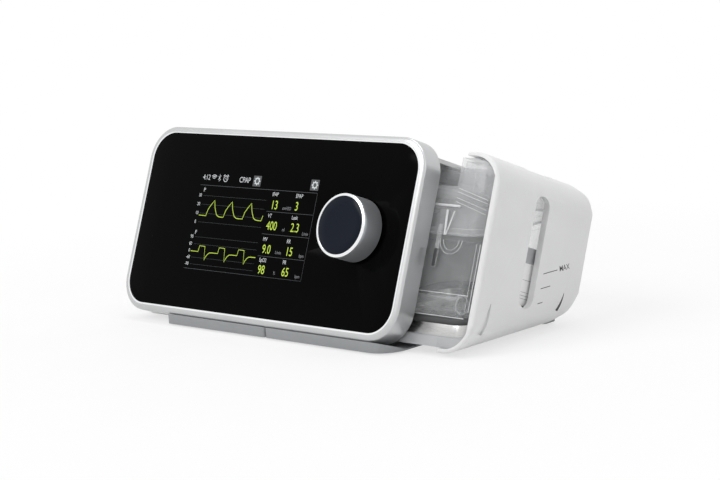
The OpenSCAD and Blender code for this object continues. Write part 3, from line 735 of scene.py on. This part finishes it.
KNOB_X = 80.8
KNOB_V = 2.6
KNOB_R = 19.4
KNOB_SEAM = 14.2
BRIGHT_FROM = 16.75
CUP = ((16.9, 1.3), (18.9, 1.3), (KNOB_R, 1.8), (KNOB_R, KNOB_SEAM), (7, KNOB_SEAM))
CUP_HOLLOW = ((16.9, 0), (16.9, 12.1), (4, 12.1))
BEVEL_RING = ((15.4, KNOB_SEAM), (KNOB_R, KNOB_SEAM), (KNOB_R, 16.7), (19.3, 16.95), (19.1, 17.1),
              (18, 17.5), (17.75, 17.45), (17.6, 17.2), (17.6, 16), (15.4, 16))
DISH = ((15, KNOB_SEAM), (15, 15.9), (17.5, 16.2), (17.5, 17), (17.3, 17.1), (12, 16.85), (4, 16.7))


def turned(name, profile, vertices=128):
    """Closed form turned round an axis, from points of radius and height."""
    form = add("circle", name, radius=profile[0][0], vertices=vertices, fill_type="NGON")
    form.data.transform(Matrix.Translation((0, 0, profile[0][1])))
    with editing(form, "FACE"):
        pick_all()
        for (r0, h0), (r1, h1) in zip(profile, profile[1:]):
            extrude(h1 - h0)
            bpy.ops.transform.resize(value=(r1 / r0, r1 / r0, 1), center_override=(0, 0, h1))
        face_outwards()
    return form


def knob_parts():
    cup = turned("knob_cup", CUP)
    cut(cup, turned("cup_hollow", CUP_HOLLOW))
    ring = turned("knob_bevel", BEVEL_RING)
    two_finishes(ring, knob_satin, knob_bright, lambda face: face.center.z > BRIGHT_FROM)
    dish = turned("knob_dish", DISH)
    place = PANEL @ Matrix.Translation((KNOB_X, KNOB_V, 0))
    for piece, finish, node in ((cup, knob_satin, "knob"), (ring, knob_bright, "knob_ring"),
                                (dish, knob_gloss, "knob_face")):
        smooth(piece)
        settle(piece, "knob", finish, node, place)


# Water tank, in clear mouldings whose rounded edges get a painted highlight

TANK_X0 = 24
TANK_X1 = 117
TANK_T0 = 17
TANK_T1 = 101
TANK_R = 13
TANK_WALL = 1.8
TUB_Z = 21.5

# Rim of the tub and flange of the lid: their height, how far they stand out, and their places
RIM = 3
RIM_OUT = 1
RIM_Z = 66
LID_Z = RIM_Z + 1

# The lid's top, and its low part at the front left, which ends at a depth
LID_TOP_V = 54
LID_LOW_V = 36.7
LID_LOW_X = 89.5
LID_LOW_T = 50

# The two spigots for the air
SPIGOT_V = 42.6
SPIGOTS_T = (62, 84)

# The pipe on the tank's floor, as radius and distance along X, and its place
PIPE_END = 101
PIPE = ((4.6, 38), (4.6, 98), (5.9, 98), (5.9, PIPE_END), (4, PIPE_END))
PIPE_BORE = ((3.7, 30), (3.7, 98.5), (5, 98.5), (5, 105))
PIPE_V = -31.6
PIPE_T = 27.9


def tank_block(name, inset, z0, z1):
    """Block with the tank's rounded outline, drawn in by inset and cut level at two heights."""
    form = block(name, (TANK_X0 + inset, -120, inset - TANK_T1),
                 (TANK_X1 - inset, 150, -TANK_T0 - inset))
    round_edges(form, along(1, TANK_R - inset), segments=14)
    form.data.transform(PANEL)
    for height, above in ((z0, False), (z1, True)):
        with editing(form, "FACE"):
            pick_all()
            bpy.ops.mesh.bisect(plane_co=(0, 0, height), plane_no=(0, 0, 1), use_fill=True,
                                clear_outer=above, clear_inner=not above)
    return form


def lid_block(name, inset):
    """The lid's form: low at the front left, high at the right and rear, under the cover."""
    form = tank_block(name, RIM_OUT + inset, LID_Z - inset, 160)
    cut(form, block("above", (-FAR, LID_TOP_V - inset, -FAR), (FAR, 400, FAR), PANEL))
    cut(form, block("low_part", (-FAR, LID_LOW_V - inset, -LID_LOW_T - inset),
                    (LID_LOW_X + inset, 400, FAR), PANEL))
    roll_x, roll_v = SIDE_X - FRAME_R, TOP_V - FRAME_R
    corner = block("corner_part", (roll_x, roll_v, -130), (SIDE_X + 20, TOP_V + 20, 20))
    roll = add("cylinder", "corner_roll", radius=FRAME_R - WALL - 2 * GAP - inset, depth=200,
               vertices=128)
    roll.data.transform(Matrix.Translation((roll_x, roll_v, -50)))
    cut(corner, roll)
    corner.data.transform(PANEL)
    cut(form, corner)
    return form


def tank_lid():
    """Clear lid with its flange, the pad on its front and the two spigots for the air."""
    lid = lid_block("lid_shell", 0)
    cut(lid, tank_block("lid_flange", 0, LID_Z, LID_Z + RIM), "UNION")
    cut(lid, slab("lid_pad", width=8, height=11.5, corner=1.2, t0=TANK_T0 + 0.2, t1=TANK_T0 + 2,
                  x=106, v=39.3), "UNION")
    for t in SPIGOTS_T:
        cut(lid, side_drum("spigot", 7.5, 17.1, 27, SPIGOT_V, t, PANEL), "UNION")
    cut(lid, lid_block("lid_hollow", TANK_WALL))
    for t in SPIGOTS_T:
        cut(lid, side_drum("spigot_bore", 5.9, 15, 30, SPIGOT_V, t, PANEL))
    # The rounded edges get the painted highlight
    crisp(lid, 0.4, finishes=(clear_pale, clear_painted_highlight))
    smooth(lid)
    settle(lid, "drawer", clear_plastic, "tank_lid", OUT)


def water_tub():
    """Clear tub, open at the top and at the metal pan, with a thick rim."""
    tub = tank_block("tub_shell", RIM_OUT, TUB_Z, RIM_Z)
    cut(tub, tank_block("tub_rim", 0, RIM_Z - RIM, RIM_Z), "UNION")
    cut(tub, tank_block("tub_hollow", RIM_OUT + TANK_WALL, TUB_Z - 5, RIM_Z + 5))
    # The rounded edges get the painted highlight
    crisp(tub, 0.4, finishes=(clear_plastic, clear_painted_highlight))
    smooth(tub)
    settle(tub, "drawer", clear_plastic, "water_tub", OUT)


def tank_pipe():
    """Clear pipe along the tank's floor, with a collar at its outer end; the collar's end face and
    the rounded edges get a painted highlight.
    """
    pipe = turned("tank_pipe", PIPE, vertices=64)
    cut(pipe, turned("pipe_bore", PIPE_BORE, vertices=64))
    # The rounded edges get the painted highlight
    crisp(pipe, 0.3, finishes=(clear_tube, clear_painted_highlight))
    # The collar's end face gets the painted highlight too
    for face in pipe.data.polygons:
        if face.center.z > PIPE_END - 0.4:
            face.material_index = 1
    smooth(pipe)
    place = (OUT @ PANEL @ Matrix.Translation((0, PIPE_V, -PIPE_T))
             @ Matrix.Rotation(math.pi / 2, 4, "Y"))
    settle(pipe, "drawer", clear_tube, "tank_tube", place)


def lid_clip():
    """Slim clear clip on the tank's front, with a short dark catch at its lower end."""
    clip = block("clip_body", (82.2, -12, -TANK_T0), (85.2, 13.5, 1.1 - TANK_T0))
    crisp(clip, 0.35)
    clip.data.materials.append(clear_pale.material)
    catch = block("clip_catch", (82.3, -11.8, 0.3 - TANK_T0), (84.9, -1, 1.15 - TANK_T0))
    crisp(catch, 0.3)
    catch.data.materials.append(dark_plastic.material)
    clip = together("clip_body", [clip, catch])
    smooth(clip)
    settle(clip, "drawer", dark_plastic, "lid_latch", OUT @ PANEL)


def drawer_foot():
    """Small pad under the drawer's outer edge, just clear of the table."""
    foot = block("foot_pad", (100.5, 48, 1.5), (106.5, 60, 7.5))
    round_edges(foot, along(2, 2.9), segments=8)
    crisp(foot, 0.4)
    smooth(foot)
    settle(foot, "drawer", grey_base, "drawer_foot", OUT)


# Lines and words: thin flat drawings just over the surface that they lie on

DRAWN_OUT = 0.02
FLATNESS = 0.05


def as_mesh(piece):
    """Turns a text or a curve into a mesh."""
    only(piece)
    bpy.ops.object.convert(target="MESH")
    return bpy.context.object


def lettering(words, x, v, height, narrow=1.0, bold=0.0):
    """Flat text centred on a point."""
    bpy.ops.object.select_all(action="DESELECT")
    bpy.ops.object.text_add()
    text = bpy.context.object
    text.name = "words"
    text.data.body = words
    text.data.align_x = "CENTER"
    text.data.align_y = "CENTER"
    text.data.size = height * 1.4
    text.data.offset = bold
    text = as_mesh(text)
    text.data.transform(Matrix.Translation((x, v, DRAWN_OUT)) @ Matrix.Diagonal((narrow, 1, 1, 1)))
    return text


def line(name, points, width, closed=False):
    """Flat ribbon along points."""
    curve = bpy.data.curves.new(name, "CURVE")
    curve.dimensions = "3D"
    spline = curve.splines.new("POLY")
    spline.points.add(len(points) - 1)
    for corner, (x, v) in zip(spline.points, points):
        corner.co = (x, v, 0, 1)
    spline.use_cyclic_u = closed
    curve.bevel_depth = width / 2
    curve.bevel_resolution = 1
    ribbon = bpy.data.objects.new(name, curve)
    bpy.context.scene.collection.objects.link(ribbon)
    ribbon = as_mesh(ribbon)
    ribbon.data.transform(Matrix.Translation((0, 0, DRAWN_OUT))
                          @ Matrix.Diagonal((1, 1, FLATNESS, 1)))
    return ribbon


def arc(x, v, radius, start, end, steps=12):
    """Points along part of a circle, in degrees from the right."""
    turns = [math.radians(start + (end - start) * k / steps) for k in range(steps + 1)]
    return [(x + radius * math.cos(a), v + radius * math.sin(a)) for a in turns]


# Ribs and steps on the tank's front, bright with painted highlight, two strips of painted highlight
# on the tub's corner, and its white strip with the level lines

def rod(name, points, width, deep, t):
    """Rib along points of the panel, standing deep millimetres proud of depth t: a moulded rib, or
    a strip of painted highlight.
    """
    rib = line(name, points, width)
    rib.data.transform(Matrix.Translation((0, 0, -t))
                       @ Matrix.Diagonal((1, 1, deep / (FLATNESS * width), 1)))
    return rib


def tank_ribs():
    """The clip's two legs, the slanting steps, the round boss and the tub's floor steps, in a
    whiter plastic that paints their highlight, and two strips of painted highlight along the tub's
    rounded corner.
    """
    ribs = [rod("clip_leg", [(86.4, 22.3), (87.4, 7.4)], 1.8, deep=1.0, t=16.9),
            rod("clip_stay", [(92.4, 21.8), (88.6, 7.6)], 0.7, deep=1.0, t=16.9),
            rod("clip_top", [(76, 25.2), (95, 24.8)], 1.4, deep=1.0, t=17.3)]
    for v, drop in ((35.4, 5.9), (33.2, 5.8), (29.8, 6.2), (27.4, 6.4)):
        ribs.append(rod("slant_step", [(91.5, v), (115, v - drop)], 0.28, deep=0.4, t=17.6))
    for radius in (8.3, 5.9):
        boss = arc(93.2, 4.6, radius, 180, 360, 24)
        ribs.append(rod("boss_ring", boss, 0.25, deep=0.4, t=17.6))
    # Two strips of painted highlight where the tub's rounded corner catches the light
    for x, width, deep, t in ((112.4, 0.6, 0.6, 21.2), (110.9, 0.25, 0.4, 20)):
        ribs.append(rod("tub_corner_highlight", [(x, 4), (x, -36)], width, deep, t))
    for v in (-26.2, -39.6):
        ribs.append(rod("floor_step", [(40, v), (113, v - 0.6)], 0.45, deep=0.5, t=17.7))
    settle(together("tank_ribs", ribs), "drawer", clear_painted_highlight, place=OUT @ PANEL)


def level_strip():
    """White strip behind the sight slot with its short level lines, and the grey band above it."""
    x = TANK_X1 - 1
    thick = 0.9
    t0, t1 = 56, 69
    half_tick = 0.12
    for name, v0, v1, finish in (("level_strip", -24, 1, level_white),
                                 ("level_band", 1.2, 10.5, tray_plastic)):
        band = block(name, (x, v0, -t1), (x + thick, v1, -t0))
        crisp(band, 0.2)
        settle(band, "drawer", finish, place=OUT @ PANEL)
    ticks = [block("strip_tick", (x + thick - 0.05, v - half_tick, 1 - t1),
                   (x + thick + 0.03, v + half_tick, -1 - t0))
             for v in (-8.9, -16.1, -18.1, -19.9)]
    settle(together("strip_ticks", ticks), "drawer", level_ink, place=OUT @ PANEL)


# What the screen shows, by x and v on the glass

STATUS_V = 28.3
GEARS_X = (-15, 36.4)


def show(name, drawn, finish):
    """Joins what is drawn into one lit piece on the glass."""
    settle(together(name, drawn), "root", finish, place=PANEL)


def words_at(places, height, narrow=1.0):
    return [lettering(word, x, v, height, narrow) for word, x, v in places]


def breath_waves():
    """Pressure above, flow below, three breaths each."""
    width = 0.46
    rise = ((0, 3.5), (1.1, 7.8), (3.2, 10.8), (5.8, 13.9), (6.4, 12), (7.3, 9.2), (8.6, 6.8),
            (10, 4.6), (12, 3.6), (14, 3.4))
    push = ((0, -20), (0.6, -16.2), (5.7, -16.3), (7.2, -25.2), (8, -23), (9.2, -21.4),
            (10.8, -20.2), (13, -20))
    pressure = [(x + dx, v) for x in (-56.4, -39.8, -21.9) for dx, v in rise]
    flow = [(x + dx, v) for x in (-57, -38.3, -20.3) for dx, v in push]
    show("breath_waves", [
        line("pressure_wave", [(-63, 3.6), *pressure, (-4.7, 3.3), (-3.9, 6.6)], width),
        line("flow_wave", [(-64, -20), *flow, (-3.3, -20)], width),
    ], lime_glow)


def readings():
    """The eight figures beside the waves."""
    figures = (("13", 4.6, 13.8), ("3", 24.2, 14), ("400", 5.6, 0.6), ("2.3", 26.2, 0.6),
               ("9.0", 5, -14.3), ("15", 25.3, -14.4), ("98", 3.9, -27.3), ("65", 25.2, -27.2))
    show("readings", words_at(figures, 5.6, narrow=0.8), lime_glow)


def small_words():
    """Clock, mode, axis numbers, and the name and unit of each figure."""
    pressures = (("30", -65.3, 16.6), ("20", -65.3, 10.8), ("10", -65.3, 5), ("0", -65.3, -0.8))
    flows = (("90", -65.5, -10.6), ("60", -65.5, -15.2), ("0", -65.5, -19.7),
             ("-60", -65.5, -24), ("-90", -65.5, -28.4))
    figures = (("IPAP", 3.7, 20.7), ("EPAP", 25, 20.7), ("VT", 2.3, 7), ("Leak", 24.5, 7),
               ("MV", 2.3, -7.9), ("RR", 23.3, -8), ("SpO2", 3.7, -21.1), ("PR", 23.1, -21.1))
    units = (("cmH2O", 15.9, 12.4), ("ml", 16.5, -1), ("L/min", 36, -2.4), ("L/min", 15.8, -15.5),
             ("bpm", 36.4, -16.1), ("%", 15.7, -28.4), ("bpm", 36.2, -28.9))
    show("small_words", [
        lettering("4:12", -62.5, 28.5, 3.4, narrow=0.85),
        lettering("CPAP", -26.4, STATUS_V, 3.6, narrow=0.85),
        *words_at((("P", -62.1, 20.2), ("F", -62.6, -7.7)), 2.6),
        *words_at(pressures + flows, 2.2, narrow=0.85),
        *words_at(figures, 2.5, narrow=0.8),
    ], white_glow)
    show("unit_words", words_at(units, 2.1, narrow=0.8), dim_glow)


def screen_signs():
    """Wireless, link, alarm and settings signs in the status bar."""
    x, v = -44.4, 28.4
    signs = [line("wave_sign", arc(-55.4, 27.2, r, 45, 135), 0.45) for r in (1.2, 2.2, 3.2)]
    signs.append(line("link_sign", [(-51.3, 29.8), (-49.3, 27.5), (-50.3, 26.5), (-50.3, 30.8),
                                    (-49.3, 29.8), (-51.3, 27.5)], 0.4))
    signs.append(line("alarm_face", arc(x, v, 1.9, 0, 360, 24), 0.45, closed=True))
    signs.append(line("alarm_hands", [(x, 29.6), (x, v), (-43.5, 28)], 0.35))
    signs += [line("alarm_bell", arc(x, v, 2.8, a - 16, a + 16, 4), 0.5) for a in (50, 130)]
    for x in GEARS_X:
        signs.append(line("gear_ring", arc(x, STATUS_V, 1.75, 0, 360, 24), 0.75, closed=True))
        for inner, outer in zip(arc(x, STATUS_V, 1.9, 0, 315, 7), arc(x, STATUS_V, 2.7, 0, 315, 7)):
            signs.append(line("gear_tooth", [inner, outer], 0.8))
    show("screen_signs", signs, white_glow)


def screen_rules():
    """Dim rules between the fields, chart lines and the boxes behind the two settings signs."""
    rules = [line("status_rule", [(-67, 23.4), (40, 23.4)], 0.22)]
    for v in (9.7, -4.6, -18.6):
        rules.append(line("field_rule", [(-1.5, v), (39.6, v)], 0.2))
    for v in (16.6, 10.8, 5, -0.8, -10.6, -15.2, -24, -28.4):
        rules.append(line("chart_rule", [(-62.5, v), (-3.5, v)], 0.1))
    rules.append(line("edge_rule", [(-67.4, -31.4), (40, -31.4), (40, 22.8)], 0.2))
    for x in GEARS_X:
        box = add("plane", "sign_box", size=1)
        box.data.transform(Matrix.Translation((x - 0.1, STATUS_V, 0.005))
                           @ Matrix.Diagonal((7, 6.8, 1, 1)))
        rules.append(box)
    show("screen_rules", rules, grey_glow)


def level_marks():
    """Marks printed beside the sight slot: the highest level with its word, and two lower ticks."""
    marks = [line("tick", points, 0.45) for points in (
        [(29.3, 37.5), (42.6, 37.5)], [(26, 29.2), (35, 29.2)], [(22.4, 20.9), (27, 20.9)])]
    marks.append(lettering("MAX", 49.4, 37.6, 3.4, narrow=0.95, bold=0.008))
    side = Matrix(((0, 0, 1, SIDE_X + DRAWER_OUT), (1, 0, 0, 0), (0, 1, 0, 0), (0, 0, 0, 1)))
    settle(together("level_marks", marks), "drawer", mark_ink, place=side)


front_frame()
knob_parts()
main_housing()
drawer_cover()
water_tub()
tank_lid()
tank_ribs()
level_strip()
tank_pipe()
lid_clip()
drawer_foot()
breath_waves()
readings()
small_words()
screen_signs()
screen_rules()
level_marks()


# Studio, in metres

PICTURE_W = 720
FOCAL = 2008.9
SENSOR = 36
CAMERA_AT = (0.9056, -0.8745, 0.2641)
CAMERA_TURN = math.radians(44.43)
CAMERA_PITCH = math.radians(9.71)
CAMERA_ROLL = math.radians(-3.98)


def camera():
    """Looks from the photograph's place: ahead and to the right, a little above the machine."""
    level = math.cos(CAMERA_PITCH)
    ahead = Vector((-math.sin(CAMERA_TURN) * level, math.cos(CAMERA_TURN) * level,
                    -math.sin(CAMERA_PITCH)))
    right = ahead.cross(Vector((0, 0, 1))).normalized()
    up = right.cross(ahead)
    across = math.cos(CAMERA_ROLL) * right + math.sin(CAMERA_ROLL) * up
    upward = -math.sin(CAMERA_ROLL) * right + math.cos(CAMERA_ROLL) * up
    data = bpy.data.cameras.new("camera")
    data.lens = SENSOR * FOCAL / PICTURE_W
    data.sensor_width = SENSOR
    data.clip_start = 0.05
    view = bpy.data.objects.new("camera", data)
    aim = Matrix((across, upward, -ahead)).transposed().to_4x4()
    view.matrix_world = Matrix.Translation(CAMERA_AT) @ aim
    bpy.context.scene.collection.objects.link(view)
    bpy.context.scene.camera = view


def softbox(name, place, target, width, height, power):
    data = bpy.data.lights.new(name, "AREA")
    data.shape = "RECTANGLE"
    data.size = width
    data.size_y = height
    data.energy = power
    lamp = bpy.data.objects.new(name, data)
    aim = (Vector(target) - Vector(place)).to_track_quat("-Z", "Y")
    lamp.matrix_world = Matrix.Translation(place) @ aim.to_matrix().to_4x4()
    bpy.context.scene.collection.objects.link(lamp)


def paper_world():
    """Even grey light, and white paper where the camera, gloss or glass looks past the machine."""
    world = bpy.data.worlds.new("paper_world")
    world.use_nodes = True
    bpy.context.scene.world = world
    tree = NodeTree(world.node_tree)
    tree.nodes.clear()
    light, paper = (tree.node("ShaderNodeBackground", in_Color=(1, 1, 1, 1),
                              in_Strength=strength).outputs[0] for strength in (0.55, 1.0))
    shown = tree.mix_shaders(tree.seen(), light, paper)
    tree.link(shown, tree.node("ShaderNodeOutputWorld").inputs["Surface"])


def table_top():
    """Pale floor that keeps the machine's shadow and fades into the white paper around it."""
    table = add("plane", "table_top", size=6)
    surface = Finish("table_paper", (0.86, 0.86, 0.86), 0.7).set(Specular_IOR_Level=0.1)
    surface.tint(size=60, dark=0.99, light=1.01)
    away = surface.node("ShaderNodeVectorMath", operation="LENGTH")
    surface.joined(away, surface.position())
    fade = surface.ramp(away.outputs["Value"], 210, 480, 0.66, 1)
    share = surface.maths("MULTIPLY", surface.seen(), fade)
    paper = surface.node("ShaderNodeEmission", in_Strength=1.0).outputs[0]
    shown = surface.mix_shaders(share, surface.shader.outputs[0], paper)
    surface.link(shown, surface.nodes["Material Output"].inputs["Surface"])
    table.data.materials.append(surface.material)
    table.select_set(False)


camera()
paper_world()
table_top()
softbox("key_light", (-0.5, -1.3, 1.5), (0, 0, 0.05), width=1.2, height=1.0, power=16)
softbox("side_light", (1.6, 0.2, 0.9), (0.05, 0, 0.05), width=1.0, height=1.0, power=2.5)
softbox("top_light", (0.0, 0.4, 1.7), (0, 0, 0.05), width=1.5, height=1.0, power=10)

bpy.context.scene.view_settings.view_transform = "Standard"
